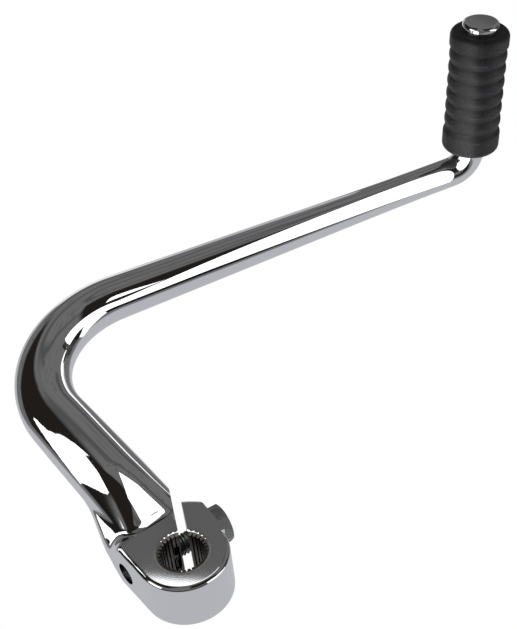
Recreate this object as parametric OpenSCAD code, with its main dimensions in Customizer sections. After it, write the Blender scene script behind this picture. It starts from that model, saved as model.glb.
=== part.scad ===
// Kick start lever: a splined clamp boss, a bent tapering arm and a peg with a rubber sleeve.
// The origin is in the middle of the spline bore, on its axis. +Z runs along that axis and out of the boss on
// the side where the peg stands, and +X runs from the bore to the foot of the peg. The modules are written
// with the boss's inner face at height 0, and in_frame() lowers them.

/* [Boss] */
// Outer diameter of the boss
boss_d = 32; // [30:0.5:40]
// Thickness of the boss
boss_t = 19.6; // [18:0.2:24]
// Rounding of the boss's outer edges
boss_edge_r = 1.8; // [0.5:0.1:3]
// Distance from the bore axis to the turned end of the ear
ear_reach = 23.3; // [21:0.1:26]
// Distance from the bore axis to the flat that the bolt head sits on
seat_reach = 16.4; // [15.5:0.1:18]

/* [Spline bore] */
// Diameter across the tips of the spline teeth
spline_tip_d = 15; // [14:0.1:16]
// Diameter at the bottom of the spline grooves
spline_root_d = 17; // [16.4:0.1:18]
// Number of spline teeth
spline_teeth = 32; // [24:1:36]
// Width of a groove where it opens into the bore
groove_mouth = 0.95; // [0.6:0.05:1]
// Width of a groove at its bottom
groove_floor = 0.3; // [0.2:0.05:0.5]
// Outer diameter of the shallow countersink at each end of the bore
countersink_d = 20.4; // [18.5:0.1:22]
// Depth of that countersink
countersink_depth = 0.7; // [0.3:0.1:1.5]

/* [Slot] */
// Width of the clamping slot
slot_w = 3.2; // [2:0.1:4]
// Direction of the slot, in degrees from the peg's direction
slot_azimuth = 44.5; // [40:0.5:48]
// Distance of the slot's middle from the bore axis
slot_shift = 1.5; // [0:0.1:2]

/* [Clamp bolt] */
// Thread diameter of the bolt
bolt_d = 8; // [6:0.5:8]
// Length of the bolt under its head
bolt_len = 29; // [26:0.5:31]
// Width of the bolt head across its flats
bolt_head_af = 13; // [11:0.5:14]
// Height of the bolt head
bolt_head_h = 5.7; // [4:0.1:7]
// Direction in which the bolt head points, in degrees from the peg's direction
bolt_azimuth = -25.4; // [-28:0.2:-22]
// Distance of the bolt's axis from the bore axis
bolt_offset = 11.5; // [11.5:0.1:12.5]
// Height of the bolt's axis above the boss's inner face
bolt_z = 8.8; // [8:0.1:11]
// Gap round the bolt in the plain hole of the ear
bolt_clearance = 0.25; // [0.1:0.05:0.5]
// Gap round the bolt in its tapped hole
thread_clearance = 0.05; // [0.02:0.01:0.1]

/* [Arm] */
// Distance from the bore axis to the peg's foot
throw = 225; // [200:1:250]
// Direction of the arm where it leaves the boss, in degrees from the peg's direction
arm_azimuth = 70.5; // [68:0.5:74]
// Distance of the arm's middle line from the bore axis, towards the slot
arm_shift = 1.6; // [0:0.1:3]
// Length from the arm's start to the corner of its bend
lower_len = 125.7; // [110:1:140]
// Radius of the arm's middle line in the bend
bend_r = 41; // [34:1:55]
// Height of the arm's start above the boss's inner face
root_z = 13.1; // [12.9:0.1:14]
// Height of the peg's foot above the boss's inner face
foot_z = 45; // [30:1:60]
// Diameter of the arm where it leaves the boss
arm_root_d = 25.4; // [22:0.1:25.4]
// Diameter of the arm where the bend starts
arm_bend_d = 24.1; // [20:0.1:25]
// Diameter of the arm where the bend ends
arm_mid_d = 19; // [16:0.1:22]
// Length of even thickness between the arm's taper and its elbow
tip_len = 32; // [10:1:60]
// Distance of the step in the boss's outer face from the bore axis
face_step = 16.4; // [14:0.1:18]
// Radius at the foot of that step
face_step_r = 2.5; // [1:0.1:4]
// Length over which the boss's flank narrows into the arm
flank_len = 30; // [20:1:40]

/* [Peg] */
// Diameter of the peg
peg_d = 12; // [10:0.5:13]
// Lean of the peg away from the bore's direction
peg_lean = 3; // [0:0.5:5]
// Direction of that lean, in degrees from the peg's direction
peg_lean_azimuth = -72; // [-90:1:0]
// Height of the rubber's lower end above the arm's middle line
neck_h = 10; // [9:0.5:14]
// Radius of the middle line in the elbow between arm and peg
elbow_r = 9.8; // [8:0.1:10]
// Width of the shoulder that the rubber stands on, round the foot of the peg
shoulder_w = 0.4; // [0.3:0.05:0.8]
// Diameter of the peg's button head
button_d = 15.2; // [14:0.1:18]
// Height of the button head
button_h = 3.7; // [2.5:0.1:5]
// Rounding of the button head's upper edge
button_edge_r = 1.6; // [0.5:0.1:2]

/* [Peg rubber] */
// Length of the rubber sleeve
rubber_len = 54.7; // [45:0.1:65]
// Diameter of the plain bands at the sleeve's ends
rubber_d = 24.5; // [22:0.1:28]
// Diameter over the crowns of the ribs
rib_d = 23.9; // [21.5:0.1:24.5]
// Depth of the grooves between the ribs
rib_depth = 0.75; // [0.4:0.05:1.2]
// Number of ribs
rib_count = 6; // [4:1:9]
// Height of the plain band at the sleeve's upper end
top_band = 7.6; // [5:0.1:10]
// Height of the plain band at the sleeve's lower end
bottom_band = 11.2; // [8:0.1:14]
// Rounding of the sleeve's two outer edges
band_edge_r = 2.5; // [1:0.1:4]

/* [Hidden] */
$fn = 64;
overcut = 1;
circle_sides = 32;
bend_rings = 16;
elbow_rings = 8;
flank_rings = 9;
rib_sides = 8;

chrome = [0.82, 0.83, 0.85];
rubber_black = [0.09, 0.09, 0.09];
zinc = [0.55, 0.56, 0.57];

function heading(angle) = [cos(angle), sin(angle), 0];
function unit(v) = v / norm(v);
function mix(a, b, share) = a + (b - a) * share;
function smooth(share) = share * share * (3 - 2 * share);
function turn_between(a, b) = acos(a * b);

// Middle line of the arm: a straight lower stretch, a bend, a straight upper stretch and an elbow.
side_of_arm = heading(arm_azimuth - 90);
arm_start_reach = 13.4;
arm_start = heading(arm_azimuth) * arm_start_reach + side_of_arm * arm_shift + [0, 0, root_z];
peg_up = unit(heading(peg_lean_azimuth) * sin(peg_lean) + [0, 0, cos(peg_lean)]);
elbow_corner = [throw, 0, foot_z];
corner_plan = arm_start + heading(arm_azimuth) * lower_len;
upper_plan = norm([elbow_corner.x - corner_plan.x, elbow_corner.y - corner_plan.y]);
corner_share = lower_len / (lower_len + upper_plan);
bend_corner = [corner_plan.x, corner_plan.y, mix(root_z, foot_z, corner_share)];
lower_dir = unit(bend_corner - arm_start);
upper_dir = unit(elbow_corner - bend_corner);
bend_turn = turn_between(lower_dir, upper_dir);
elbow_turn = turn_between(upper_dir, peg_up);
bend_trim = bend_r * tan(bend_turn / 2);
elbow_trim = elbow_r * tan(elbow_turn / 2);
bend_start_s = norm(bend_corner - arm_start) - bend_trim;
bend_end_s = bend_start_s + bend_r * bend_turn * PI / 180;
elbow_start_s = bend_end_s + norm(elbow_corner - bend_corner) - bend_trim - elbow_trim;
elbow_end_s = elbow_start_s + elbow_r * elbow_turn * PI / 180;

// A point and the heading of the middle line in a round corner, at a share of its turn.
function corner_point(corner, dir_in, dir_out, r, turn, share) =
    let (inward = unit(dir_out - dir_in * (dir_in * dir_out)),
         from = corner - dir_in * r * tan(turn / 2))
    from + inward * r * (1 - cos(turn * share)) + dir_in * r * sin(turn * share);
function corner_heading(dir_in, dir_out, turn, share) =
    let (inward = unit(dir_out - dir_in * (dir_in * dir_out)))
    dir_in * cos(turn * share) + inward * sin(turn * share);

// Diameter of the round arm at a length s along its middle line.
elbow_d = peg_d + 2 * shoulder_w;
taper_end_s = elbow_start_s - tip_len;
function arm_d_at(s) =
    s < bend_start_s ? mix(arm_root_d, arm_bend_d, s / bend_start_s)
    : s < bend_end_s ? mix(arm_bend_d, arm_mid_d, (s - bend_start_s) / (bend_end_s - bend_start_s))
    : s < taper_end_s ? mix(arm_mid_d, elbow_d, (s - bend_end_s) / (taper_end_s - bend_end_s))
    : elbow_d;

// Stations along the arm, each a length, a point and a heading. The neck ends where the flank starts to narrow.
flank_start_s = 7;
flank_inset = 0.2;
lower_stations = [for (s = concat([0], [for (i = [0:flank_rings]) flank_start_s + flank_len * i / flank_rings]))
    [s, arm_start + lower_dir * s, lower_dir]];
bend_stations = [for (i = [0:bend_rings])
    let (share = i / bend_rings)
    [mix(bend_start_s, bend_end_s, share),
     corner_point(bend_corner, lower_dir, upper_dir, bend_r, bend_turn, share),
     corner_heading(lower_dir, upper_dir, bend_turn, share)]];
elbow_stations = [for (i = [0:elbow_rings])
    let (share = i / elbow_rings)
    [mix(elbow_start_s, elbow_end_s, share),
     corner_point(elbow_corner, upper_dir, peg_up, elbow_r, elbow_turn, share),
     corner_heading(upper_dir, peg_up, elbow_turn, share)]];
taper_station = [taper_end_s, elbow_stations[0][1] - upper_dir * tip_len, upper_dir];
shoulder_station = [elbow_end_s + neck_h - elbow_trim, elbow_corner + peg_up * neck_h, peg_up];
stations = concat(lower_stations, bend_stations, [taper_station], elbow_stations, [shoulder_station]);

// Where the arm leaves the boss its left side reaches out to the boss's flank and its section is squarer.
function root_share(s) = 1 - smooth(min(1, max(0, (s - flank_start_s) / flank_len)));
function left_reach(s) = mix(arm_d_at(s) / 2, boss_d / 2 + arm_shift - flank_inset, root_share(s));
function squareness(s) = mix(2, 2.8, root_share(s));
function power(v, exponent) = sign(v) * pow(abs(v), exponent);

// One ring of the arm's skin, square to the middle line. The right side of a level ring is turned away
// from the flank, and in the elbow the ring tips over about the same level line.
elbow_side = unit(cross(upper_dir, peg_up));
function right_of(station) =
    station[0] > elbow_start_s ? elbow_side : unit(cross(station[2], [0, 0, 1]));
function ring(station) =
    let (s = station[0],
         right = right_of(station),
         top = cross(right, station[2]),
         half = arm_d_at(s) / 2,
         exponent = 2 / squareness(s))
    [for (i = [0:circle_sides - 1])
        let (angle = 360 * i / circle_sides,
             across = power(cos(angle), exponent),
             reach = across < 0 ? left_reach(s) : half)
        station[1] + right * across * reach + top * power(sin(angle), exponent) * half];

function ring_faces(rings, sides) = concat(
    [for (i = [1:sides - 2]) [0, i + 1, i]],
    [for (k = [0:rings - 2], i = [0:sides - 1])
        let (a = k * sides + i, b = k * sides + (i + 1) % sides)
        [a, b, a + sides]],
    [for (k = [0:rings - 2], i = [0:sides - 1])
        let (a = k * sides + i, b = k * sides + (i + 1) % sides)
        [b, b + sides, a + sides]],
    [for (i = [1:sides - 2]) [for (corner = [0, i, i + 1]) (rings - 1) * sides + corner]]);

module arm() {
    polyhedron(
        points = [for (station = stations) each ring(station)],
        faces = ring_faces(len(stations), circle_sides),
        convexity = 6);
}

// Places its children in the peg's own frame, with the rubber's lower end at height 0.
module on_peg() {
    foot = elbow_corner + peg_up * neck_h;
    translate(foot) rotate([0, 0, peg_lean_azimuth]) rotate([0, peg_lean, 0]) children();
}

// Places its children with the bolt's axis along X, its head towards +X.
module on_bolt() {
    rotate([0, 0, bolt_azimuth]) translate([0, bolt_offset, bolt_z]) rotate([0, 90, 0]) children();
}

// A disc with rounded outer edges.
module rounded_disc(r, edge_r) {
    rotate_extrude() {
        square([r - edge_r, boss_t]);
        translate([0, edge_r]) square([r, boss_t - 2 * edge_r]);
        translate([r - edge_r, edge_r]) circle(edge_r);
        translate([r - edge_r, boss_t - edge_r]) circle(edge_r);
    }
}

// The ear, with its turned end and the flat under the bolt head.
module ear() {
    flat_start = 15;
    flank = 40;
    intersection() {
        rounded_disc(ear_reach, boss_edge_r);
        rotate([0, 0, bolt_azimuth]) linear_extrude(boss_t) polygon([
            [0, 0],
            [boss_d / 2 * cos(flat_start), -boss_d / 2 * sin(flat_start)],
            [seat_reach, 0],
            [seat_reach, flank],
            flank * [cos(slot_azimuth - bolt_azimuth), sin(slot_azimuth - bolt_azimuth)]
        ]);
    }
}

// The part of the boss between the bore and the arm, with a straight flank and rounded edges.
module neck() {
    depth = arm_start_reach + flank_start_s;
    width = boss_d / 2 + arm_shift + 6;
    rotate([0, 0, arm_azimuth - 90]) translate([-boss_d / 2, 0, 0]) intersection() {
        cube([width, depth, boss_t]);
        rotate([-90, 0, 0]) linear_extrude(depth) {
            translate([boss_edge_r, -boss_t]) square([width, boss_t]);
            translate([0, boss_edge_r - boss_t]) square([width, boss_t - 2 * boss_edge_r]);
            translate([boss_edge_r, -boss_edge_r]) circle(boss_edge_r);
            translate([boss_edge_r, boss_edge_r - boss_t]) circle(boss_edge_r);
        }
    }
}

// What the facing tool takes off above the boss's outer face, up to the step in front of the arm.
module face_cut() {
    reach = 60;
    height = 20;
    rotate([0, 0, arm_azimuth]) translate([0, 0, boss_t]) {
        translate([-reach, -reach / 2, face_step_r]) cube([reach + face_step, reach, height]);
        translate([-reach, -reach / 2, 0]) cube([reach + face_step - face_step_r, reach, height]);
        translate([face_step - face_step_r, reach / 2, face_step_r])
            rotate([90, 0, 0]) cylinder(r = face_step_r, h = reach);
    }
}

module spline_grooves() {
    tip_r = spline_tip_d / 2;
    root_r = spline_root_d / 2;
    for (i = [0:spline_teeth - 1])
        rotate([0, 0, 360 / spline_teeth * i]) translate([0, 0, -overcut])
            linear_extrude(boss_t + 2 * overcut) polygon([
                [tip_r - groove_mouth, -groove_mouth / 2],
                [tip_r, -groove_mouth / 2],
                [root_r, -groove_floor / 2],
                [root_r, groove_floor / 2],
                [tip_r, groove_mouth / 2],
                [tip_r - groove_mouth, groove_mouth / 2]
            ]);
}

module spline_bore() {
    cylinder(d = spline_tip_d, h = 3 * boss_t, center = true);
    spline_grooves();
    countersink();
    translate([0, 0, boss_t]) rotate([180, 0, 0]) countersink();
}

// The cone at the inner end of the bore, carried on a little way outside the face and inside the tooth tips.
module countersink() {
    widening = (countersink_d - spline_tip_d) / 2 / countersink_depth;
    outside_r = countersink_d / 2 + overcut * widening;
    inside_r = spline_tip_d / 2 - overcut;
    translate([0, 0, -overcut]) cylinder(r1 = outside_r, r2 = inside_r, h = (outside_r - inside_r) / widening);
}

module slot() {
    reach = 45;
    rotate([0, 0, slot_azimuth]) translate([0, -slot_shift - slot_w / 2, -overcut])
        cube([reach, slot_w, boss_t + 2 * overcut + arm_root_d]);
}

module bolt_hole() {
    reach = 40;
    on_bolt() {
        cylinder(d = bolt_d + 2 * bolt_clearance, h = reach);
        translate([0, 0, -reach]) cylinder(d = bolt_d + 2 * thread_clearance, h = 2 * reach);
    }
}

module peg() {
    on_peg() {
        translate([0, 0, -neck_h + elbow_trim]) cylinder(d = peg_d, h = neck_h - elbow_trim + rubber_len);
        translate([0, 0, rubber_len]) button();
    }
}

// The upset head that keeps the rubber on the peg.
module button() {
    r = button_d / 2;
    rotate_extrude() {
        square([r, button_h - button_edge_r]);
        square([r - button_edge_r, button_h]);
        translate([r - button_edge_r, button_h - button_edge_r]) circle(button_edge_r);
    }
}

// Puts the middle of the bore at the origin.
module in_frame() {
    translate([0, 0, -boss_t / 2]) children();
}

module lever() {
    color(chrome) in_frame() {
        difference() {
            union() {
                rounded_disc(boss_d / 2, boss_edge_r);
                ear();
                neck();
                arm();
            }
            spline_bore();
            slot();
            bolt_hole();
            face_cut();
        }
        peg();
    }
}

// The crown of one rib, from its lower groove to its upper one.
function rib_outline(i) =
    let (pitch = (rubber_len - top_band - bottom_band) / rib_count,
         sag = rib_depth,
         arc_r = pitch * pitch / (8 * sag) + sag / 2,
         half_angle = asin(pitch / 2 / arc_r),
         middle = bottom_band + pitch * (i + 0.5))
    [for (k = [0:rib_sides])
        let (angle = mix(-half_angle, half_angle, k / rib_sides))
        [rib_d / 2 - arc_r * (1 - cos(angle)), middle + arc_r * sin(angle)]];

function band_edge(center_z, from, to) = [for (k = [0:6])
    let (angle = mix(from, to, k / 6))
    [rubber_d / 2 - band_edge_r + band_edge_r * cos(angle), center_z + band_edge_r * sin(angle)]];

module peg_rubber() {
    groove_slope = 1.6;
    color(rubber_black) in_frame() on_peg() rotate_extrude() polygon(concat(
        [[peg_d / 2, 0]],
        band_edge(band_edge_r, -90, 0),
        [[rubber_d / 2, bottom_band - 2 * groove_slope]],
        [for (i = [0:rib_count - 1]) each rib_outline(i)],
        [[rubber_d / 2, rubber_len - top_band + groove_slope]],
        band_edge(rubber_len - band_edge_r, 0, 90),
        [[peg_d / 2, rubber_len]]
    ));
}

module clamp_bolt() {
    corner_d = bolt_head_af / cos(30);
    bevel = (corner_d - bolt_head_af) / 2;
    point = 1;
    color(zinc) in_frame() on_bolt() {
        translate([0, 0, seat_reach]) intersection() {
            rotate([0, 0, 30]) cylinder(d = corner_d, h = bolt_head_h, $fn = 6);
            union() {
                cylinder(d = corner_d + overcut, h = bolt_head_h - bevel);
                translate([0, 0, bolt_head_h - bevel])
                    cylinder(r1 = corner_d / 2 + overcut, r2 = bolt_head_af / 2, h = bevel);
            }
        }
        translate([0, 0, seat_reach - bolt_len + point]) cylinder(d = bolt_d, h = bolt_len - point + overcut);
        translate([0, 0, seat_reach - bolt_len]) cylinder(d1 = bolt_d - 2 * point, d2 = bolt_d, h = point);
    }
}

lever();
peg_rubber();
clamp_bolt();
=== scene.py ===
"""The looks of a kick start lever: a polished chrome forging, its rubber sleeve and its clamp bolt."""

import math

import bmesh
import bpy
import numpy as np
from mathutils import Matrix, Vector


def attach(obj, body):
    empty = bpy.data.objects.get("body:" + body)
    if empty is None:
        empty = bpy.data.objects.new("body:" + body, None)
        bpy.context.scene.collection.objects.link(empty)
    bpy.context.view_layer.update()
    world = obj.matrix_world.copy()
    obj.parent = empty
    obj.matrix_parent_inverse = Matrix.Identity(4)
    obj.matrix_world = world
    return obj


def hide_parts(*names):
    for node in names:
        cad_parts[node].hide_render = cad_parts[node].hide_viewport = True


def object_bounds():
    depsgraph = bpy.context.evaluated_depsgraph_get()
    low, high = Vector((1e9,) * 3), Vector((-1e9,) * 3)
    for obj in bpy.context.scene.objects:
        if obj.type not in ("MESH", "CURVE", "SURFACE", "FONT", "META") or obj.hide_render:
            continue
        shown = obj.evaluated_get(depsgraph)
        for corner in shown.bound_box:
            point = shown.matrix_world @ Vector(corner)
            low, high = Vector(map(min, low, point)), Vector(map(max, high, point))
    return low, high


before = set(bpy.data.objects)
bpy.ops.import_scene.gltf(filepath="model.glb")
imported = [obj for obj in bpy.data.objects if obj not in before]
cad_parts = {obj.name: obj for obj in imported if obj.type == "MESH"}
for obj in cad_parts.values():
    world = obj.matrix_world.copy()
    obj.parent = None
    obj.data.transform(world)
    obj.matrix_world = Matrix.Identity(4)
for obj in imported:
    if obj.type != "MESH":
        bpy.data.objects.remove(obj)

bl_info = {
    "name": "Kick Start Lever",
    "version": (1, 0, 0),
    "blender": (4, 5, 0),
    "location": "View3D > Sidebar > Lever",
    "description": "Builds the chromed lever, its ribbed rubber and its clamp bolt around the packed frame",
    "category": "Object",
}

MM = 0.001
CAD_LOW, CAD_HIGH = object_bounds()
SKIN = 0.03 * MM  # how far the fine skins stay inside the solids' box


def length_of(name, description, millimetres):
    return bpy.props.FloatProperty(name=name, description=description, default=millimetres * MM, unit="LENGTH")


def angle_of(name, description, degrees):
    return bpy.props.FloatProperty(
        name=name, description=description, default=math.radians(degrees), unit="ROTATION")


def count_of(name, description, number):
    return bpy.props.IntProperty(name=name, description=description, default=number)


def colour_of(name, description, colour):
    return bpy.props.FloatVectorProperty(
        name=name, description=description, default=colour, subtype="COLOR", size=3)


class LeverSizes(bpy.types.PropertyGroup):
    """Sizes of the forging. The ramp is this script's own, and the others are as in the solid source."""

    boss_r: length_of("Boss radius", "Radius of the boss", 16)
    boss_t: length_of("Boss thickness", "Thickness of the boss", 19.6)
    edge_r: length_of("Edge radius", "Rounding of the boss's outer edges", 1.8)
    ear_reach: length_of("Ear reach", "Bore axis to the ear's turned end", 23.3)
    seat_reach: length_of("Seat reach", "Bore axis to the flat under the bolt head", 16.4)
    slot_w: length_of("Slot width", "Width of the clamping slot", 3.2)
    slot_azimuth: angle_of("Slot direction", "Direction of the slot from +X", 44.5)
    slot_shift: length_of("Slot shift", "Slot's middle from the bore axis", 1.5)
    throw: length_of("Throw", "Bore axis to the foot of the peg", 225)
    arm_azimuth: angle_of("Arm direction", "Direction of the arm at the boss", 70.5)
    arm_shift: length_of("Arm shift", "Arm's middle line from the bore axis", 1.6)
    arm_start: length_of("Arm start", "Bore axis to the start of the arm's middle line", 13.4)
    lower_len: length_of("Lower length", "Arm's start to the corner of its bend", 125.7)
    bend_r: length_of("Bend radius", "Radius of the middle line in the bend", 41)
    root_z: length_of("Root height", "Height of the arm's start in the frame", 3.3)
    foot_z: length_of("Foot height", "Height of the peg's foot in the frame", 35.2)
    face_step: length_of("Face step", "Bore axis to the step in the outer face", 16.4)
    ramp_start: length_of("Ramp start", "Arm's start to the foot of the ramp up from the boss's face", 4.2)
    ramp_len: length_of("Ramp length", "Length of that ramp", 27)
    flank_len: length_of("Flank length", "Length over which the flank narrows", 30)


class BoreSizes(bpy.types.PropertyGroup):
    """Sizes of the splined bore."""

    tip_r: length_of("Tip radius", "Radius at the tooth tips", 7.5)
    root_r: length_of("Groove radius", "Radius at the groove floors", 8.5)
    teeth: count_of("Teeth", "Number of spline teeth", 32)
    mouth: length_of("Groove mouth", "Groove width at the bore", 0.95)
    floor: length_of("Groove floor", "Groove width at its bottom", 0.3)
    sink_r: length_of("Countersink radius", "Outer radius of the countersink", 10.2)
    sink_depth: length_of("Countersink depth", "Depth of the countersink", 0.7)


class PegSizes(bpy.types.PropertyGroup):
    """Sizes of the peg and its rubber."""

    peg_r: length_of("Peg radius", "Radius of the peg", 6)
    lean: angle_of("Lean", "Lean of the peg", 3)
    lean_azimuth: angle_of("Lean direction", "Direction of the lean from +X", -72)
    neck_h: length_of("Neck height", "Arm's middle line to the rubber", 10)
    elbow_r: length_of("Elbow radius", "Radius of the middle line in the elbow", 9.8)
    button_r: length_of("Button radius", "Radius of the peg's head", 7.6)
    button_h: length_of("Button height", "Height of the peg's head", 3.7)
    button_edge_r: length_of("Button edge", "Rounding of the head's upper edge", 1.6)
    rubber_len: length_of("Rubber length", "Length of the sleeve", 54.7)
    rubber_r: length_of("Band radius", "Radius of the plain bands", 12.25)
    rib_r: length_of("Rib radius", "Radius over the crowns of the ribs", 11.95)
    rib_depth: length_of("Rib depth", "Depth of the grooves between the ribs", 0.85)
    ribs: count_of("Ribs", "Number of ribs", 6)
    top_band: length_of("Top band", "Height of the upper plain band", 7.6)
    bottom_band: length_of("Bottom band", "Height of the lower plain band", 11.2)
    band_edge_r: length_of("Band edge", "Rounding of the sleeve's outer edges", 2.5)


class BoltSizes(bpy.types.PropertyGroup):
    """Sizes of the clamp bolt."""

    shank_r: length_of("Thread radius", "Outer radius of the thread", 4)
    length: length_of("Length", "Length under the head", 29)
    flats: length_of("Across flats", "Width of the head across its flats", 13)
    head_h: length_of("Head height", "Height of the head", 5.7)
    pitch: length_of("Thread pitch", "Rise of the thread in a turn", 1.25)
    thread_depth: length_of("Thread depth", "Depth of the thread", 0.68)
    azimuth: angle_of("Direction", "Direction of the head from +X", -25.4)
    offset: length_of("Offset", "Bolt axis from the bore axis", 11.5)
    height: length_of("Height", "Height of the bolt axis in the frame", -1.0)
    ear_gap: length_of("Gap in the ear", "Gap round the bolt in the ear", 0.25)
    tapped_gap: length_of("Gap in the tapped side", "Gap round the bolt beyond the slot", 0.05)


class FinishColours(bpy.types.PropertyGroup):
    """Colours of the finishes."""

    chrome: colour_of("Chrome", "Colour of the chrome plating", (0.82, 0.825, 0.84))
    # The bore colour is painted shade: the bore is darkened far below the colour of bare metal.
    bore: colour_of("Bore", "Colour of the bare, oiled bore", (0.11, 0.097, 0.085))
    rubber: colour_of("Rubber", "Colour of the sleeve", (0.017, 0.017, 0.018))
    zinc: colour_of("Zinc plate", "Colour of the bolt's plating", (0.27, 0.275, 0.28))
    floor: colour_of("Floor", "Colour of the floor", (1.0, 1.0, 1.0))


class StageSettings(bpy.types.PropertyGroup):
    """The camera and the light."""

    camera_place: bpy.props.FloatVectorProperty(
        name="Camera place", description="Place of the camera", default=(-189.45 * MM, -180.05 * MM, 307.3 * MM),
        subtype="TRANSLATION", size=3)
    heading: angle_of("Heading", "Direction the camera looks in, from +X", 36.168)
    pitch: angle_of("Pitch", "Angle of the view above the horizon", -37.875)
    roll: angle_of("Roll", "Turn of the picture about the view", -6.068)
    lens: bpy.props.FloatProperty(name="Lens", description="Focal length in millimetres", default=66.5)
    soft_box_glow: bpy.props.FloatProperty(
        name="Soft box glow", description="Brightness of the small soft boxes", default=1.4)
    floor_r: length_of("Floor radius", "Radius of the floor", 2500)


class Link:
    """A node socket that can stand in a Python expression."""

    def __init__(self, graph, socket):
        self.graph, self.socket = graph, socket

    def _maths(self, operation, *values):
        return self.graph.node("ShaderNodeMath", {"operation": operation}, dict(enumerate(values)))

    def __add__(self, other): return self._maths("ADD", self, other)
    def __radd__(self, other): return self._maths("ADD", other, self)
    def __sub__(self, other): return self._maths("SUBTRACT", self, other)
    def __rsub__(self, other): return self._maths("SUBTRACT", other, self)
    def __mul__(self, other): return self._maths("MULTIPLY", self, other)
    def __rmul__(self, other): return self._maths("MULTIPLY", other, self)
    def __truediv__(self, other): return self._maths("DIVIDE", self, other)
    def __rtruediv__(self, other): return self._maths("DIVIDE", other, self)
    def __abs__(self): return self._maths("ABSOLUTE", self)

    def above(self, edge): return self._maths("GREATER_THAN", self, edge)
    def below(self, edge): return self._maths("LESS_THAN", self, edge)
    def least(self, other): return self._maths("MINIMUM", self, other)
    def most(self, other): return self._maths("MAXIMUM", self, other)
    def root(self): return self._maths("SQRT", self)
    def sine(self): return self._maths("SINE", self)
    def fraction(self): return self._maths("FRACT", self)

    def ramp(self, low, high):
        """0 at low, 1 at high, and smooth between."""
        settings = {"interpolation_type": "SMOOTHSTEP"}
        return self.graph.node("ShaderNodeMapRange", settings, {"Value": self, "From Min": low, "From Max": high})


class Graph:
    """A node tree that is written as expressions."""

    def __init__(self, tree):
        self.tree = tree

    def node(self, kind, settings=None, values=None, out=0):
        made = self.tree.nodes.new(kind)
        for name, value in (settings or {}).items():
            setattr(made, name, value)
        for key, value in (values or {}).items():
            socket = made.inputs[key]
            if isinstance(value, Link):
                self.tree.links.new(value.socket, socket)
            else:
                socket.default_value = value
        return Link(self, made.outputs[out])

    def more(self, link, out):
        """Another output of the node that a link comes from."""
        return Link(self, link.socket.node.outputs[out])

    def blend(self, share, first, second):
        """A colour between two colours."""
        return self.node("ShaderNodeMix", {"data_type": "RGBA"}, {0: share, 6: first, 7: second}, out=2)

    def noise(self, place, scale, detail=2.0, roughness=0.5):
        return self.node("ShaderNodeTexNoise", {}, {
            "Vector": place, "Scale": scale, "Detail": detail, "Roughness": roughness})

    def apart(self, vector):
        first = self.node("ShaderNodeSeparateXYZ", {}, {0: vector})
        return first, self.more(first, 1), self.more(first, 2)

    def vector(self, x, y, z):
        return self.node("ShaderNodeCombineXYZ", {}, {0: x, 1: y, 2: z})


def new_material(name):
    """A material with one Principled shader. Returns it, its graph and the shader node."""
    material = bpy.data.materials.new(name)
    material.use_nodes = True
    tree = material.node_tree
    shader = next(n for n in tree.nodes if n.type == "BSDF_PRINCIPLED")
    return material, Graph(tree), shader


def feed(graph, shader, **values):
    """Sets or links the shader's sockets. A space in a socket's name is written as an underscore."""
    for name, value in values.items():
        socket = shader.inputs[name.replace("_", " ")]
        if isinstance(value, Link):
            graph.tree.links.new(value.socket, socket)
        else:
            socket.default_value = value


def rgba(colour, gain=1.0):
    return (colour[0] * gain, colour[1] * gain, colour[2] * gain, 1.0)


def shape_tree(name, lengths, counts=()):
    """A Geometry Nodes tree with named number inputs. Returns its graph, its input links and its output node."""
    tree = bpy.data.node_groups.new(name, "GeometryNodeTree")
    for labels, kind in ((lengths, "NodeSocketFloat"), (counts, "NodeSocketInt")):
        for label in labels:
            tree.interface.new_socket(label, in_out="INPUT", socket_type=kind)
    tree.interface.new_socket("Geometry", in_out="OUTPUT", socket_type="NodeSocketGeometry")
    graph = Graph(tree)
    source = tree.nodes.new("NodeGroupInput")
    links = {label: Link(graph, source.outputs[label]) for label in (*lengths, *counts)}
    return graph, links, tree.nodes.new("NodeGroupOutput")


def close_tree(graph, geometry, sink, material):
    """Ends a shape tree in Realize Instances and Set Material."""
    real = graph.node("GeometryNodeRealizeInstances", {}, {0: geometry})
    done = graph.node("GeometryNodeSetMaterial", {}, {"Geometry": real, "Material": material})
    graph.tree.links.new(done.socket, sink.inputs[0])


def grown(name, tree, values):
    """The plain mesh object that a shape tree makes with these values."""
    seed = bpy.data.objects.new(name + "_seed", bpy.data.meshes.new(name + "_seed"))
    bpy.context.scene.collection.objects.link(seed)
    modifier = seed.modifiers.new("shape", "NODES")
    modifier.node_group = tree
    for item in tree.interface.items_tree:
        if item.in_out == "INPUT" and item.name in values:
            modifier[item.identifier] = values[item.name]
    evaluated = seed.evaluated_get(bpy.context.evaluated_depsgraph_get())
    mesh = bpy.data.meshes.new_from_object(evaluated)
    if not mesh.polygons:
        raise RuntimeError(f"{name} came out empty")
    mesh.name = name
    bpy.data.objects.remove(seed)
    made = bpy.data.objects.new(name, mesh)
    bpy.context.scene.collection.objects.link(made)
    return made


def object_of(name, points, faces):
    mesh = bpy.data.meshes.new(name)
    mesh.from_pydata([tuple(p) for p in points], [], faces)
    mesh.validate()
    made = bpy.data.objects.new(name, mesh)
    bpy.context.scene.collection.objects.link(made)
    return made


def skin(name, rings):
    """A closed skin over rings of equally many points, which run anticlockwise seen from the far end."""
    count = len(rings[0])
    points = np.concatenate(rings)
    faces = [tuple(range(count - 1, -1, -1))]
    for k in range(len(rings) - 1):
        for i in range(count):
            j = (i + 1) % count
            faces.append((k * count + i, k * count + j, (k + 1) * count + j, (k + 1) * count + i))
    last = (len(rings) - 1) * count
    faces.append(tuple(last + i for i in range(count)))
    return object_of(name, points, faces)


def circle(r, z, count=256, turn=0.0):
    angles = turn + np.arange(count) * 2 * math.pi / count
    return np.stack([r * np.cos(angles), r * np.sin(angles), np.full(count, z)], axis=1)


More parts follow.
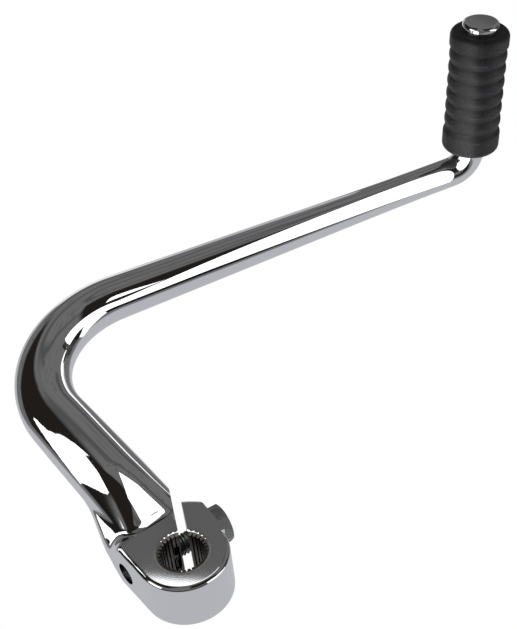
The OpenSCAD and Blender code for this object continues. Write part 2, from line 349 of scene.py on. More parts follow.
def rounded_levels(low, high, edge, steps=10):
    """(height, inset) pairs up a wall whose two edges are rounded."""
    arc = [(edge * (1 - math.cos(a)), edge * (1 - math.sin(a)))
           for a in np.linspace(0, math.pi / 2, steps + 1)]
    lower = [(low + rise, inset) for rise, inset in arc]
    upper = [(high - rise, inset) for rise, inset in reversed(arc)]
    return lower + upper


def block(name, low, high, place):
    """A box between two corners, put in place by a matrix."""
    corners = [[(low[0], high[0])[i], (low[1], high[1])[j], (low[2], high[2])[k]]
               for k in (0, 1) for j in (0, 1) for i in (0, 1)]
    faces = [(0, 2, 3, 1), (4, 5, 7, 6), (0, 1, 5, 4), (2, 6, 7, 3), (0, 4, 6, 2), (1, 3, 7, 5)]
    made = object_of(name, corners, faces)
    made.data.transform(place)
    return made


def joined(target, tool, operation):
    """Adds or cuts a tool object, which is used up."""
    modifier = target.modifiers.new(operation, "BOOLEAN")
    modifier.object, modifier.operation, modifier.solver = tool, operation, "EXACT"
    settle(target)
    bpy.data.objects.remove(tool)
    return target


def settle(target):
    """Replaces an object's mesh by what its modifiers make of it."""
    evaluated = target.evaluated_get(bpy.context.evaluated_depsgraph_get())
    mesh = bpy.data.meshes.new_from_object(evaluated)
    if not mesh.polygons:
        raise RuntimeError(f"{target.name} came out empty")
    target.modifiers.clear()
    old, target.data = target.data, mesh
    bpy.data.meshes.remove(old)
    target.data.name = target.name


def shade(target, angle):
    """Smooth shading that breaks at edges sharper than an angle, with flat faces kept flat."""
    mesh = target.data
    mesh.polygons.foreach_set("use_smooth", np.ones(len(mesh.polygons), bool))
    mesh.set_sharp_from_angle(angle=angle)
    modifier = target.modifiers.new("weights", "WEIGHTED_NORMAL")
    modifier.mode, modifier.weight, modifier.keep_sharp = "FACE_AREA", 50, True
    settle(target)


def tidy_faces(target, gap=0.002 * MM):
    """Merges doubled points and dissolves the slivers that a cut leaves."""
    work = bmesh.new()
    work.from_mesh(target.data)
    bmesh.ops.remove_doubles(work, verts=work.verts, dist=gap)
    bmesh.ops.dissolve_degenerate(work, edges=work.edges, dist=gap)
    work.to_mesh(target.data)
    work.free()


def dress(target, material):
    target.data.materials.clear()
    target.data.materials.append(material)


def heading_of(azimuth):
    return Vector((math.cos(azimuth), math.sin(azimuth), 0))


def turn_z(azimuth):
    return Matrix.Rotation(azimuth, 4, "Z")


def line_of_arm(lever, peg):
    """The arm's middle line: a function that gives the place and the heading at a length, the lengths at which its
    bend and its elbow start and end, the foot of the peg and the peg's direction."""
    along = heading_of(lever.arm_azimuth)
    side = heading_of(lever.arm_azimuth - math.pi / 2)
    start = along * lever.arm_start + side * lever.arm_shift + Vector((0, 0, lever.root_z))
    up = (heading_of(peg.lean_azimuth) * math.sin(peg.lean) + Vector((0, 0, math.cos(peg.lean)))).normalized()
    foot = Vector((lever.throw, 0, lever.foot_z))
    corner = start + along * lever.lower_len
    upper = (foot.xy - corner.xy).length
    corner.z = lever.root_z + (foot.z - lever.root_z) * lever.lower_len / (lever.lower_len + upper)
    first, second = (corner - start).normalized(), (foot - corner).normalized()
    bend, elbow = first.angle(second), second.angle(up)
    bend_trim, elbow_trim = lever.bend_r * math.tan(bend / 2), peg.elbow_r * math.tan(elbow / 2)
    s_bend = (corner - start).length - bend_trim
    s_after = s_bend + lever.bend_r * bend
    s_elbow = s_after + (foot - corner).length - bend_trim - elbow_trim
    s_peg = s_elbow + peg.elbow_r * elbow

    def turned(origin, before, after, r, whole, share):
        inward = (after - before * before.dot(after)).normalized()
        angle = whole * share
        begin = origin - before * r * math.tan(whole / 2)
        point = begin + inward * r * (1 - math.cos(angle)) + before * r * math.sin(angle)
        return point, before * math.cos(angle) + inward * math.sin(angle)

    def at(s):
        if s <= s_bend:
            return start + first * s, first
        if s <= s_after:
            return turned(corner, first, second, lever.bend_r, bend, (s - s_bend) / (s_after - s_bend))
        if s <= s_elbow:
            return foot - second * (elbow_trim + s_elbow - s), second
        if s <= s_peg:
            return turned(foot, second, up, peg.elbow_r, elbow, (s - s_elbow) / (s_peg - s_elbow))
        return foot + up * (elbow_trim + s - s_peg), up

    return at, (s_bend, s_after, s_elbow, s_peg), foot, up


ARM_RADII = [(0, 12.70), (33, 12.52), (71, 12.02), (98, 11.10), (131, 9.92), (165, 9.05), (205, 8.15),
             (245, 7.18), (278, 6.45), (300, 6.38), (400, 6.38)]  # length along the middle line, radius


def arm_radius(s):
    """Radius of the forged arm, smooth between the listed places."""
    lengths = np.array([p[0] for p in ARM_RADII]) * MM
    radii = np.array([p[1] for p in ARM_RADII]) * MM
    samples = [s + shift * MM for shift in (-12, -8, -4, 0, 4, 8, 12)]
    return float(np.mean(np.interp(samples, lengths, radii)))


def soft_step(share):
    share = min(1.0, max(0.0, share))
    return share * share * (3 - 2 * share)


def ramp_rise(share):
    """Steep at its foot, where it has a small fillet, and level at its end."""
    samples = np.clip(share + np.linspace(-0.07, 0.07, 15), 0.0, 1.0)
    return float(np.mean(1 - (1 - samples) ** 2.2))


def rounded_slab(x, y, left, right, low, high, edge):
    """Signed distance to a rectangle with rounded corners."""
    cx, cy = (left + right) / 2, (low + high) / 2
    dx = np.abs(x - cx) - (right - left) / 2 + edge
    dy = np.abs(y - cy) - (high - low) / 2 + edge
    return np.hypot(np.maximum(dx, 0), np.maximum(dy, 0)) + np.minimum(np.maximum(dx, dy), 0) - edge


def soft_union(a, b, reach):
    overlap = np.maximum(reach - np.abs(a - b), 0) / reach
    return np.minimum(a, b) - overlap * overlap * reach / 4


def section(angles, r, crown, left, low, high, edge, share):
    """Radii of the arm's section: the round arm, its crown lowered towards the boss's face, and the slab with the
    straight flank."""
    inner, outer = np.full(len(angles), r * 0.3), np.full(len(angles), left * 2)
    for _ in range(40):
        middle = (inner + outer) / 2
        x, y = middle * np.cos(angles), middle * np.sin(angles)
        slab = rounded_slab(x, y, -left, 0.3 * r, low, high, edge)
        tall = np.where(y > 0, crown, r)
        power = 2 + 1.2 * (1 - np.clip(tall / r, 0, 1))
        arm = ((np.abs(x) / r) ** power + (np.abs(y) / tall) ** power) ** (1 / power) * r - r
        inside = soft_union(slab, arm, 2.0 * MM) < 0
        inner, outer = np.where(inside, middle, inner), np.where(inside, outer, middle)
    run, rise = np.cos(angles), np.sin(angles)
    plain = ((np.abs(run) / r) ** 2 + (rise / np.where(rise > 0, crown, r)) ** 2) ** -0.5
    return inner * share + plain * (1 - share)


def chrome_finish(colours):
    """Polished chrome: near mirror, with a soft haze, turned end faces and a bore darkened with painted shade."""
    material, graph, shader = new_material("polished_chrome")
    place = graph.node("ShaderNodeTexCoord", out=3)
    x, y, z = graph.apart(place)
    reach, height = (x * x + y * y).root(), abs(z)
    cloud, fine = graph.noise(place, 55.0, 3.0), graph.noise(place, 900.0, 2.0)
    face_start, face_end, face_reach, bore_shade_reach = 9.6 * MM, 9.9 * MM, 30 * MM, 8.9 * MM
    on_face = ((height - face_start).ramp(0.0, 0.12 * MM) * (1 - (reach - face_reach).ramp(0.0, 1 * MM))
               * (height - face_end).below(0.0))
    # Painted shade: inside the bore the wall gets a dark colour, as if in shade, and is made rougher.
    bore_shade_mask = (1 - (reach - bore_shade_reach).above(0.0)) * height.below(face_end)
    turnings_per_metre = 9000.0
    turning = (reach * turnings_per_metre).sine()
    worn = cloud.ramp(0.52, 0.75)
    roughness = 0.03 + 0.02 * worn + 0.05 * on_face + 0.3 * bore_shade_mask
    colour = graph.blend(on_face, rgba(colours.chrome), rgba(colours.chrome, 0.74))
    colour = graph.blend(bore_shade_mask, colour, rgba(colours.bore))
    relief = fine * 0.06 + turning * on_face * 0.35 + cloud * 0.2
    bump = graph.node("ShaderNodeBump", {}, {"Strength": 0.05, "Distance": 0.02 * MM, "Height": relief})
    feed(graph, shader, Base_Color=colour, Metallic=1.0, Roughness=roughness, Normal=bump)
    return material


def rubber_finish(colours):
    """Moulded black rubber: fine grain, and a painted highlight of light, patchy arcs on the crowns of the ribs."""
    material, graph, shader = new_material("moulded_rubber")
    place = graph.node("ShaderNodeTexCoord", out=3)
    lever, peg = bpy.context.scene.lever_sizes, bpy.context.scene.peg_sizes
    frame_of_peg = peg_matrix(lever, peg)
    base, up = frame_of_peg.translation, frame_of_peg.col[2]
    x, y, z = graph.apart(place)
    h = (x - base.x) * up.x + (y - base.y) * up.y + (z - base.z) * up.z
    pitch = (peg.rubber_len - peg.top_band - peg.bottom_band) / peg.ribs
    turn = ((h - peg.bottom_band) / pitch).fraction()
    # Painted highlight: a band near each rib's crown is made lighter, in patches, as if lit.
    highlight_middle, highlight_half = 0.42, 0.10
    crown = 1 - abs(turn - highlight_middle).ramp(0.0, highlight_half)
    grain = graph.noise(place, 1500.0, 3.0, 0.7)
    cloud = graph.noise(place, 120.0, 4.0, 0.6)
    highlight_patches = graph.noise(place, 160.0, 2.0).ramp(0.42, 0.62)
    shade_of_grain = grain.ramp(0.32, 0.7) * 0.75 + cloud * 0.25
    colour = graph.blend(shade_of_grain, rgba(colours.rubber, 0.5), rgba(colours.rubber, 3.2))
    colour = graph.blend(crown * highlight_patches * 0.5, colour, rgba(colours.rubber, 6.5))
    roughness = 0.5 + 0.14 * cloud
    bump = graph.node("ShaderNodeBump", {}, {"Strength": 0.6, "Distance": 0.08 * MM, "Height": grain + cloud * 0.6})
    feed(graph, shader, Base_Color=colour, Metallic=0.0, Roughness=roughness, Normal=bump)
    return material


def zinc_finish(colours):
    """Dull zinc plate, cloudy and finely rough."""
    material, graph, shader = new_material("dull_zinc")
    place = graph.node("ShaderNodeTexCoord", out=3)
    cloud = graph.noise(place, 260.0, 4.0, 0.6)
    grain = graph.noise(place, 2200.0, 2.0)
    colour = graph.blend(cloud.ramp(0.35, 0.7), rgba(colours.zinc, 0.75), rgba(colours.zinc, 1.15))
    roughness = 0.36 + 0.16 * cloud
    bump = graph.node("ShaderNodeBump", {}, {"Strength": 0.5, "Distance": 0.04 * MM, "Height": grain * 0.7 + cloud})
    feed(graph, shader, Base_Color=colour, Metallic=1.0, Roughness=roughness, Normal=bump)
    return material


def finish_named(name):
    """The finish of that name, which is made when it is first asked for."""
    makers = {"polished_chrome": chrome_finish, "moulded_rubber": rubber_finish, "dull_zinc": zinc_finish}
    return bpy.data.materials.get(name) or makers[name](bpy.context.scene.lever_colours)


def bolt_matrix(bolt):
    """Puts the bolt's axis, modelled along +Z, where the bolt lies, with its head towards +Z."""
    return turn_z(bolt.azimuth) @ Matrix.Translation((0, bolt.offset, bolt.height)) @ Matrix.Rotation(
        math.pi / 2, 4, "Y")


def peg_matrix(lever, peg):
    """Puts the rubber's lower end, modelled at height 0, on the peg."""
    _, _, foot, up = line_of_arm(lever, peg)
    return Matrix.Translation(foot + up * peg.neck_h) @ turn_z(peg.lean_azimuth) @ Matrix.Rotation(
        peg.lean, 4, "Y")


def groove_cutter(bore, half):
    """The ring of spline grooves, as one tool."""
    graph, size, sink = shape_tree(
        "Spline Grooves", ("Tip Radius", "Root Radius", "Mouth", "Floor", "Half Length"), ("Teeth",))
    depth = size["Root Radius"] - size["Tip Radius"]
    box = graph.node("GeometryNodeMeshCube", {}, {
        "Size": graph.vector(depth * 2, size["Mouth"], size["Half Length"] * 2)})
    x, y, z = graph.apart(graph.node("GeometryNodeInputPosition"))
    narrow = (size["Floor"] / size["Mouth"] - 1) * x.above(0.0) + 1
    shaped = graph.node("GeometryNodeSetPosition", {}, {
        "Geometry": box, "Position": graph.vector(x, y * narrow, z)})
    ring = graph.node("GeometryNodeMeshCircle", {}, {"Vertices": size["Teeth"], "Radius": size["Tip Radius"]})
    angle = graph.node("GeometryNodeInputIndex") * (2 * math.pi) / size["Teeth"]
    many = graph.node("GeometryNodeInstanceOnPoints", {}, {
        "Points": ring, "Instance": shaped, "Rotation": graph.vector(0.0, 0.0, angle)})
    close_tree(graph, many, sink, finish_named("polished_chrome"))
    return grown("grooves", graph.tree, {
        "Tip Radius": bore.tip_r, "Root Radius": bore.root_r, "Mouth": bore.mouth, "Floor": bore.floor,
        "Half Length": half, "Teeth": bore.teeth})


class LEVER_OT_forging(bpy.types.Operator):
    """Builds the chromed forging: boss, ear, arm, peg and button in one skin"""

    bl_idname = "lever.forging"
    bl_label = "Forging"

    def execute(self, context):
        lever, bore = context.scene.lever_sizes, context.scene.bore_sizes
        peg, bolt = context.scene.peg_sizes, context.scene.bolt_sizes
        made = self.boss(lever)
        joined(made, self.ear(lever, bolt), "UNION")
        joined(made, self.arm(lever, peg), "UNION")
        for tool in self.cutters(lever, bore, bolt):
            joined(made, tool, "DIFFERENCE")
        tidy_faces(made)
        made.name = made.data.name = "chrome_lever"
        dress(made, finish_named("polished_chrome"))
        shade(made, math.radians(24))
        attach(made, "root")
        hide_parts("lever")
        return {"FINISHED"}

    def boss(self, lever):
        half = lever.boss_t / 2
        levels = rounded_levels(-half, half, lever.edge_r)
        flank_side = math.radians(160.5)
        return skin("boss", [circle(lever.boss_r - SKIN - inset, z, 256, flank_side) for z, inset in levels])

    def ear(self, lever, bolt):
        half = lever.boss_t / 2
        angles = np.linspace(bolt.azimuth, lever.slot_azimuth, 72)
        rings = []
        for z, inset in rounded_levels(-half, half, lever.edge_r):
            r = lever.ear_reach - inset
            points = [(0.0, 0.0, z)] + [(r * math.cos(a), r * math.sin(a), z) for a in angles]
            rings.append(np.array(points))
        return skin("ear", rings)

    def arm(self, lever, peg):
        at, (s_bend, s_after, s_elbow, s_peg), foot, up = line_of_arm(lever, peg)
        half = lever.boss_t / 2
        flank_start = 7 * MM
        flank_end = flank_start + lever.flank_len
        # The section has more corners where the flank's two edges are rounded.
        edges = [np.linspace(math.radians(first), math.radians(last), 30) for first, last in ((138, 172), (205, 232))]
        angles = np.sort(np.concatenate([np.arange(150) * 2 * math.pi / 150, *edges]))
        stops = [-lever.arm_start, 1.5 * MM, flank_start, flank_end, s_bend, s_after, s_elbow, s_peg]
        lengths = [stops[0]]
        for low, high, count in zip(stops, stops[1:], (5, 12, 40, 10, 44, 44, 26)):
            lengths += list(np.linspace(low, high, count)[1:])
        rings, right = [], None
        for s in lengths:
            point, heading = at(s)
            right = heading.cross(Vector((0, 0, 1))) if right is None else right - heading * right.dot(heading)
            right.normalize()
            top = right.cross(heading)
            r = arm_radius(s) - SKIN
            if s < flank_end:
                share = 1 - soft_step((s - flank_start) / lever.flank_len)
                left = lever.boss_r + lever.arm_shift
                low, face = (-half - point.z) / top.z, (half - point.z) / top.z
                crown = face + (r - face) * ramp_rise((s - lever.ramp_start) / lever.ramp_len)
                away = soft_step((s - lever.ramp_start + 2 * MM) / (9 * MM))
                edge = lever.edge_r + (8 * MM - lever.edge_r) * away
                radii = section(angles, r, crown, left, low, face - 3 * MM * away, edge, share)
            else:
                radii = np.full(len(angles), r)
            rings.append(self.ring(point, right, top, angles, radii))
        shoulder = foot + up * peg.neck_h
        top = right.cross(up)
        edge, neck_r, seat = peg.button_edge_r, arm_radius(1.0) - SKIN, -0.05 * MM
        head = peg.rubber_len
        stack = [(seat - 0.35 * MM, neck_r), (seat, neck_r - 0.3 * MM), (seat, peg.peg_r - SKIN),
                 (head, peg.peg_r - SKIN), (head, peg.button_r - 0.4 * MM), (head + 0.25 * MM, peg.button_r)]
        stack += [(head + peg.button_h - edge + edge * math.sin(a), peg.button_r - edge + edge * math.cos(a))
                  for a in np.linspace(0, math.pi / 2, 12)]
        for h, r in stack:
            rings.append(self.ring(shoulder + up * h, right, top, angles, np.full(len(angles), r)))
        return skin("arm", rings)

    def ring(self, point, right, top, angles, radii):
        across, upward = (radii * np.cos(angles))[:, None], (radii * np.sin(angles))[:, None]
        return np.array(point)[None, :] + across * np.array(right)[None, :] + upward * np.array(top)[None, :]

    def cutters(self, lever, bore, bolt):
        half, far = lever.boss_t / 2, 60 * MM
        top = half - SKIN
        level = Matrix.Identity(4)
        face = block("face", (-far, -far, top), (lever.face_step, far, half + 30 * MM), turn_z(lever.arm_azimuth))
        underside = block("underside", (-far, -far, -half - 10 * MM), (far, far, -half + SKIN), level)
        seat = block("seat", (lever.seat_reach, -4 * MM, -half - MM), (40 * MM, 32 * MM, half + MM),
                     turn_z(bolt.azimuth))
        slot = block("slot", (0, -lever.slot_shift - lever.slot_w / 2, -half - MM),
                     (45 * MM, -lever.slot_shift + lever.slot_w / 2, 40 * MM), turn_z(lever.slot_azimuth))
        wide = skin("wide_hole", [circle(bolt.shank_r + bolt.ear_gap, z, 64) for z in (0.0, 40 * MM)])
        wide.data.transform(bolt_matrix(bolt))
        tapped = skin("tapped_hole", [circle(bolt.shank_r + bolt.tapped_gap, z, 64) for z in (-40 * MM, 40 * MM)])
        tapped.data.transform(bolt_matrix(bolt))
        hole = skin("hole", [circle(bore.tip_r, z, 192) for z in (-2 * half, 2 * half)])
        widening = (bore.sink_r - bore.tip_r) / bore.sink_depth
        sinks = []
        for name, sign in (("sink_out", 1), ("sink_in", -1)):
            rings = [circle(bore.tip_r - MM, sign * (half - bore.sink_depth - MM / widening), 192),
                     circle(bore.sink_r + MM * widening, sign * (half + MM), 192)]
            sinks.append(skin(name, rings if sign > 0 else rings[::-1]))
        return [face, underside, seat, hole, *sinks, groove_cutter(bore, half + 2 * MM), slot, wide, tapped]


class LEVER_OT_rubber(bpy.types.Operator):
    """Builds the ribbed rubber sleeve from a rule for its radius"""

    bl_idname = "lever.rubber"
    bl_label = "Peg rubber"

    def execute(self, context):
        lever, peg = context.scene.lever_sizes, context.scene.peg_sizes
        graph, size, sink = shape_tree(
            "Ribbed Sleeve", ("Length", "Bore", "Band", "Rib", "Rib Depth", "Top Band", "Bottom Band", "Edge"),
            ("Ribs",))
        sides, rows = 160, 420
        tube = graph.node("GeometryNodeMeshCylinder", {"fill_type": "NONE"}, {
            "Vertices": sides, "Side Segments": rows, "Radius": 1.0, "Depth": 2.0})
        x, y, z = graph.apart(graph.node("GeometryNodeInputPosition"))
        # The rows run once round the section: up the outside, over the end, down the bore and back.
        travel, turn_in = (z + 1) / 2, 0.9
        outside = travel.below(turn_in)
        h = (travel / turn_in).least(1.0) * size["Length"]
        h = h * outside + (1 - outside) * (1 - (travel - turn_in) / 0.1).most(0.0) * size["Length"]
        ribbed = size["Length"] - size["Top Band"] - size["Bottom Band"]
        pitch = ribbed / size["Ribs"]
        along = (h - size["Bottom Band"]) / pitch
        crown = along.fraction() * 2 - 1
        rib = size["Rib"] - size["Rib Depth"] * crown * crown
        in_ribs = (h - size["Bottom Band"]).above(0.0) * (size["Length"] - size["Top Band"] - h).above(0.0)
        slope = 1.6 * MM
        lower = (h - size["Bottom Band"] + 2 * slope).ramp(0.0, 2 * slope)
        upper = (size["Length"] - size["Top Band"] + slope - h).ramp(0.0, slope)
        foot_of_rib = size["Rib"] - size["Rib Depth"]
        band = size["Band"] - (size["Band"] - foot_of_rib) * (lower * upper)
        from_end = h.least(size["Length"] - h).most(0.0)
        inset = (size["Edge"] - from_end).most(0.0)
        rounding = size["Edge"] - (size["Edge"] * size["Edge"] - inset * inset).most(0.0).root()
        skin_r = rib * in_ribs + band * (1 - in_ribs) - rounding
        radius = skin_r * outside + size["Bore"] * (1 - outside)
        moved = graph.node("GeometryNodeSetPosition", {}, {
            "Geometry": tube, "Position": graph.vector(x * radius, y * radius, h)})
        close_tree(graph, moved, sink, finish_named("moulded_rubber"))
        made = grown("peg_sleeve", graph.tree, {
            "Length": peg.rubber_len, "Bore": peg.peg_r, "Band": peg.rubber_r - SKIN, "Rib": peg.rib_r,
            "Rib Depth": peg.rib_depth, "Ribs": peg.ribs, "Top Band": peg.top_band,
            "Bottom Band": peg.bottom_band, "Edge": peg.band_edge_r})
        close_ends(made)
        made.data.transform(peg_matrix(lever, peg))
        shade(made, math.radians(50))
        dress(made, finish_named("moulded_rubber"))
        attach(made, "root")
        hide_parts("peg_rubber")
        return {"FINISHED"}


def close_ends(target):
    """Joins the two open rims of a skin that was rolled round its section."""
    work = bmesh.new()
    work.from_mesh(target.data)
    bmesh.ops.remove_doubles(work, verts=work.verts, dist=0.0005 * MM)
    rims = [e for e in work.edges if e.is_boundary]
    if rims:
        bmesh.ops.bridge_loops(work, edges=rims)
    bmesh.ops.recalc_face_normals(work, faces=work.faces)
    work.to_mesh(target.data)
    work.free()


class LEVER_OT_bolt(bpy.types.Operator):
    """Builds the clamp bolt: a bevelled hexagon head and a threaded shank"""

    bl_idname = "lever.bolt"
    bl_label = "Clamp bolt"

    def execute(self, context):
        lever, bolt = context.scene.lever_sizes, context.scene.bolt_sizes
        made = self.head(lever, bolt)
        joined(made, self.shank(lever, bolt), "UNION")
        joined(made, self.thread(lever, bolt), "UNION")
        joined(made, self.trimmer(lever, bolt), "INTERSECT")
        tidy_faces(made)
        made.data.transform(bolt_matrix(bolt))
        made.name = made.data.name = "hex_bolt"
        dress(made, finish_named("dull_zinc"))
        shade(made, math.radians(28))
        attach(made, "root")
        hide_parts("clamp_bolt")
        return {"FINISHED"}

    def head(self, lever, bolt):
        corner = bolt.flats / math.sqrt(3)
        low, high = lever.seat_reach, lever.seat_reach + bolt.head_h
        hexagon = skin("head", [circle(corner, z, 6, math.pi / 6) for z in (low, high)])
        bevel = corner - bolt.flats / 2
        slope = math.tan(math.radians(30))
        levels = [(low, corner + MM), (high - bevel * slope - MM * slope, corner + MM),
                  (high - 0.05 * MM, bolt.flats / 2), (high, bolt.flats / 2 - 0.15 * MM)]
        cone = skin("bevel", [circle(r, z, 128) for z, r in levels])
        return joined(hexagon, cone, "INTERSECT")

    def shank(self, lever, bolt):
        root, plain = bolt.shank_r - bolt.thread_depth, bolt.shank_r - 0.1 * MM
        low, high = lever.seat_reach - bolt.length, lever.seat_reach
        levels = [(low, root - 0.4 * MM), (low + 0.5 * MM, root), (high - 6 * MM, root), (high - 5.6 * MM, plain),
                  (high + 0.5 * MM, plain)]
        return skin("shank", [circle(r, z, 48) for z, r in levels])

    def thread(self, lever, bolt):
        graph, size, sink = shape_tree("Screw Thread", ("Radius", "Pitch", "Turns", "Depth", "Lower End"))
        helix = graph.node("GeometryNodeCurveSpiral", {}, {
            "Resolution": 32, "Rotations": size["Turns"], "Start Radius": size["Radius"] - size["Depth"],
            "End Radius": size["Radius"] - size["Depth"], "Height": size["Turns"] * size["Pitch"]})
        ridge = graph.node("GeometryNodeCurvePrimitiveQuadrilateral", {"mode": "POINTS"}, {
            "Point 1": graph.vector(size["Depth"] * 0.35 * -1, size["Pitch"] * -0.42, 0.0),
            "Point 2": graph.vector(size["Depth"] * 0.35 * -1, size["Pitch"] * 0.42, 0.0),
            "Point 3": graph.vector(size["Depth"], size["Pitch"] * 0.06, 0.0),
            "Point 4": graph.vector(size["Depth"], size["Pitch"] * -0.06, 0.0)})
        swept = graph.node("GeometryNodeCurveToMesh", {}, {"Curve": helix, "Profile Curve": ridge, "Fill Caps": True})
        placed = graph.node("GeometryNodeTransform", {}, {
            "Geometry": swept, "Translation": graph.vector(0.0, 0.0, size["Lower End"])})
        close_tree(graph, placed, sink, finish_named("dull_zinc"))
        turns = (bolt.length - 6 * MM) / bolt.pitch
        return grown("thread", graph.tree, {
            "Radius": bolt.shank_r - 0.01 * MM, "Pitch": bolt.pitch, "Turns": turns, "Depth": bolt.thread_depth,
            "Lower End": lever.seat_reach - bolt.length + 0.3 * MM})

    def trimmer(self, lever, bolt):
        low, seat, head_r = lever.seat_reach - bolt.length, lever.seat_reach - 0.01 * MM, 12 * MM
        levels = [(low, bolt.shank_r - MM), (low + MM, bolt.shank_r), (seat, bolt.shank_r + 0.02 * MM),
                  (seat, head_r), (lever.seat_reach + 20 * MM, head_r)]
        return skin("trimmer", [circle(r, z, 96) for z, r in levels])


FULL_GLOW = 4  # watts with which a square metre of an area light is as bright as white
ROOM = (0.17, 0.168, 0.165)
WARM = (0.017, 0.014, 0.012)
# The panels round the object, each laid over those before it. Directions are in degrees, azimuth from the camera's
# side and anticlockwise seen from above: brightness, azimuth from and to, elevation from and to, slope of the lower
# and of the upper edge, softness.
PANELS = [
    (0.085, -200, -150, 17, 24, 0, 0, 3.0),
    (0.085, 150, 200, 17, 24, 0, 0, 3.0),
    (0.085, -200, 200, 51, 55, 0, 0, 2.5),
    (0.085, -200, 200, 76, 80, 0, 0, 2.5),
    (0.05, 112, 126, -24, 0, 0, 0, 4.0),
    (0.04, 82, 112, -24, 18, 0, 0, 6.0),
    (WARM, 10, 76, 18, 66, 0, 0, 5.0),
    ((0.5, 0.51, 0.53), -185, -100, -45, 31, 0, -0.93, 3.0),
    (WARM, -155, -84, 33, 45, -0.93, 0.25, 4.0),
    (WARM, -118, -40, 40, 84, 0, 0, 4.0),
    (0.012, -96, 100, -17, 0, 0, 0, 3.0),
    (0.18, -108, 180, -27, -17, 0, 0, 3.0),
    ((0.53, 0.54, 0.565), -190, 190, -95, -27, 0, 0, 3.5),
    (1.8, -80, -50, -5, 24, 0, 0, 1.5),
    (1.4, 44, 60, -12, 20, -0.48, 0, 0.8),
    (1.4, 59, 96, -19, 20, -0.3, -1.0, 0.8),
    (0.9, -170, -156, -26, 8, 0, 0, 2.0),
]
# The small soft boxes close to the object: the middle of each, its azimuth as above (or None for one that hangs level
# above the object), and the convex parts that its window is put together from, in millimetres.
SOFT_BOXES = {
    "rod_light": ((0.1098, 0.0343, 0.03), 30, [
        [(-58, -6), (-58, 8), (0, 36), (40, 58), (70, 75), (86, 80), (104, 72), (110, 40), (110, -5)],
        [(-60, -11), (-60, -5), (0, -4), (0, -5), (-48, -12)]]),
    "flank_light": ((-0.0505, 0.1570, 0.01), -90, [
        [(-48, 170), (-30, 135), (-37, 124)],
        [(-30, 135), (0, 118), (-36, 125)],
        [(0, 118), (36, 105), (37, 80), (30, 45), (-20, 60), (-36, 125)],
        [(30, 45), (-20, 34), (-20, 62)],
        [(30, 45), (-2, -45), (-32, 20), (-20, 35)]]),
    "ramp_light": ((0.0, 0.02, 0.10), None, [
        [(-2, 15), (-2, -20), (15, -30), (50, -40), (55, 2), (38, 42), (28, 36)]]),
}


def window_of(u, v, parts):
    """How deep a place lies in a window put together from convex outlines. Outside them it is below 0."""
    window = None
    for part in parts:
        corners = [(x * MM, y * MM) for x, y in part]
        edges = list(zip(corners, corners[1:] + corners[:1]))
        turn = sum(ax * by - bx * ay for (ax, ay), (bx, by) in edges)
        inside = None
        for (ax, ay), (bx, by) in edges:
            size = math.copysign(math.hypot(bx - ax, by - ay), turn)
            depth = (v - ay) * ((bx - ax) / size) - (u - ax) * ((by - ay) / size)
            inside = depth if inside is None else inside.least(depth)
        window = inside if window is None else window.most(inside)
    return window


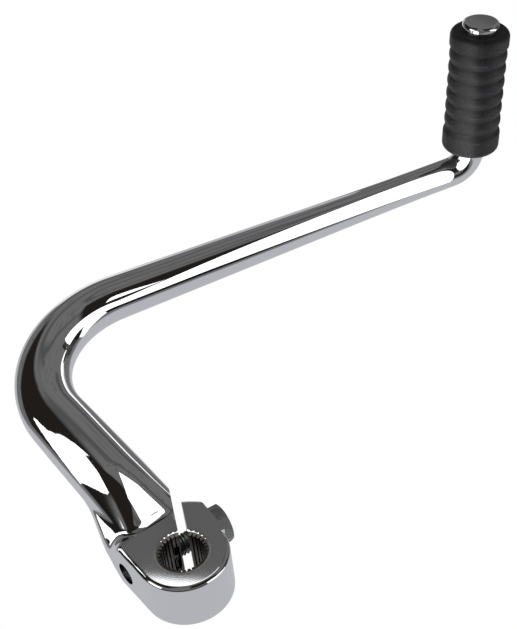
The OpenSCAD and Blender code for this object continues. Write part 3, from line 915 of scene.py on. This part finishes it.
class LEVER_OT_stage(bpy.types.Operator):
    """Makes the pale floor, the studio light and the camera"""

    bl_idname = "lever.stage"
    bl_label = "Stage"

    def execute(self, context):
        stage = context.scene.stage_settings
        self.camera(context, stage)
        self.world(context)
        floor = skin("floor", [circle(stage.floor_r, z, 96) for z in (-0.02, CAD_LOW.z - 0.02 * MM)])
        material, graph, shader = new_material("floor")
        feed(graph, shader, Base_Color=(0.0, 0.0, 0.0, 1.0), Roughness=1.0, Specular_IOR_Level=0.0,
             Emission_Color=rgba(context.scene.lever_colours.floor), Emission_Strength=1.0)
        dress(floor, material)
        floor.visible_glossy = floor.visible_diffuse = floor.visible_shadow = False
        self.soft_boxes(context, stage)
        return {"FINISHED"}

    def soft_boxes(self, context, stage):
        """Hangs the small soft boxes, which show in polished metal only."""
        for name, (middle, azimuth, parts) in SOFT_BOXES.items():
            across, upward = Vector((1, 0, 0)), Vector((0, 1, 0))
            if azimuth is not None:
                across = heading_of(math.radians(azimuth) + stage.heading + 1.5 * math.pi)
                upward = Vector((0, 0, 1))
            us, vs = zip(*[(u * MM, v * MM) for part in parts for u, v in part])
            width, height = max(us) - min(us), max(vs) - min(vs)
            centre = Vector(middle) + across * ((max(us) + min(us)) / 2) + upward * ((max(vs) + min(vs)) / 2)
            data = bpy.data.lights.new(name, "AREA")
            data.shape, data.size, data.size_y = "RECTANGLE", width, height
            data.energy = FULL_GLOW * width * height * stage.soft_box_glow
            light = bpy.data.objects.new(name, data)
            context.scene.collection.objects.link(light)
            # An area light shines along its own -Z.
            turned = Matrix((across, upward, across.cross(upward))).transposed().to_4x4()
            light.matrix_world = Matrix.Translation(centre) @ turned
            light.visible_camera = light.visible_diffuse = False
            data.use_nodes = True
            graph = Graph(data.node_tree)
            place = graph.apart(graph.node("ShaderNodeNewGeometry"))
            offset = [axis - start for axis, start in zip(place, middle)]
            u, v = (sum(part * share for part, share in zip(offset, way)) for way in (across, upward))
            glow = next(n for n in data.node_tree.nodes if n.type == "EMISSION")
            strength = window_of(u, v, parts).ramp(0.0, 0.4 * MM)
            data.node_tree.links.new(strength.socket, glow.inputs["Strength"])

    def camera(self, context, stage):
        ahead = heading_of(stage.heading) * math.cos(stage.pitch) + Vector((0, 0, math.sin(stage.pitch)))
        level = ahead.cross(Vector((0, 0, 1))).normalized()
        upright = level.cross(ahead)
        right = level * math.cos(stage.roll) + upright * math.sin(stage.roll)
        up = upright * math.cos(stage.roll) - level * math.sin(stage.roll)
        data = bpy.data.cameras.new("camera")
        data.lens, data.sensor_width, data.clip_start, data.clip_end = stage.lens, 36.0, 0.01, 50.0
        camera = bpy.data.objects.new("camera", data)
        context.scene.collection.objects.link(camera)
        turned = Matrix((right, up, -ahead)).transposed().to_4x4()
        camera.matrix_world = Matrix.Translation(stage.camera_place) @ turned
        context.scene.camera = camera

    def world(self, context):
        """A dim room round a pale table, with soft boxes on both sides of the camera."""
        world = bpy.data.worlds.new("studio")
        context.scene.world = world
        world.use_nodes = True
        graph = Graph(world.node_tree)
        background = next(n for n in world.node_tree.nodes if n.type == "BACKGROUND")
        x, y, z = graph.apart(graph.node("ShaderNodeTexCoord", out=0))
        front = context.scene.stage_settings.heading + math.pi
        ahead = x * math.cos(front) + y * math.sin(front)
        left = y * math.cos(front) - x * math.sin(front)
        degrees = 180 / math.pi
        azimuth = graph.node("ShaderNodeMath", {"operation": "ARCTAN2"}, {0: left, 1: ahead}) * degrees
        elevation = graph.node("ShaderNodeMath", {"operation": "ARCSINE"}, {0: z}) * degrees
        way = graph.vector(x, y, z)
        azimuth = azimuth + (graph.noise(way, 2.5, 1.0) - 0.5) * 6
        elevation = elevation + (graph.noise(way, 3.5, 1.0) - 0.5) * 6
        wave = (graph.noise(way, 1.6, 2.0) * 14).fraction()
        line = 1 - abs(wave - 0.5).ramp(0.0, 0.14)
        colour = graph.blend(line * 0.45, rgba(ROOM), rgba(ROOM, 0.25))
        for level, start, end, low, high, low_slope, high_slope, soft in PANELS:
            across = azimuth - start
            shape = ((across + soft).ramp(0.0, 2 * soft) * (end - start + soft - across).ramp(0.0, 2 * soft)
                     * (elevation - low - across * low_slope + soft).ramp(0.0, 2 * soft)
                     * (high + across * high_slope + soft - elevation).ramp(0.0, 2 * soft))
            colour = graph.blend(shape, colour, rgba(level if isinstance(level, tuple) else (level,) * 3))
        seen = graph.node("ShaderNodeLightPath", out=0)
        colour = graph.blend(seen, colour, (1.0, 1.0, 1.0, 1.0))
        graph.tree.links.new(colour.socket, background.inputs["Color"])
        context.scene.view_settings.view_transform = "Standard"


class LEVER_PT_panel(bpy.types.Panel):
    """Lists the lever's pieces"""

    bl_idname = "LEVER_PT_panel"
    bl_label = "Kick start lever"
    bl_space_type = "VIEW_3D"
    bl_region_type = "UI"
    bl_category = "Lever"

    def draw(self, context):
        for operator in OPERATORS:
            self.layout.operator(operator.bl_idname)


GROUPS = {"lever_sizes": LeverSizes, "bore_sizes": BoreSizes, "peg_sizes": PegSizes, "bolt_sizes": BoltSizes,
          "lever_colours": FinishColours, "stage_settings": StageSettings}
OPERATORS = (LEVER_OT_stage, LEVER_OT_forging, LEVER_OT_rubber, LEVER_OT_bolt)


def register():
    for group in GROUPS.values():
        bpy.utils.register_class(group)
    for name, group in GROUPS.items():
        setattr(bpy.types.Scene, name, bpy.props.PointerProperty(type=group))
    for operator in OPERATORS:
        bpy.utils.register_class(operator)
    bpy.utils.register_class(LEVER_PT_panel)


def unregister():
    bpy.utils.unregister_class(LEVER_PT_panel)
    for operator in reversed(OPERATORS):
        bpy.utils.unregister_class(operator)
    for name in GROUPS:
        delattr(bpy.types.Scene, name)
    for group in GROUPS.values():
        bpy.utils.unregister_class(group)


def main():
    register()
    bpy.ops.lever.stage()
    bpy.ops.lever.forging()
    bpy.ops.lever.rubber()
    bpy.ops.lever.bolt()


if __name__ == "__main__":
    main()
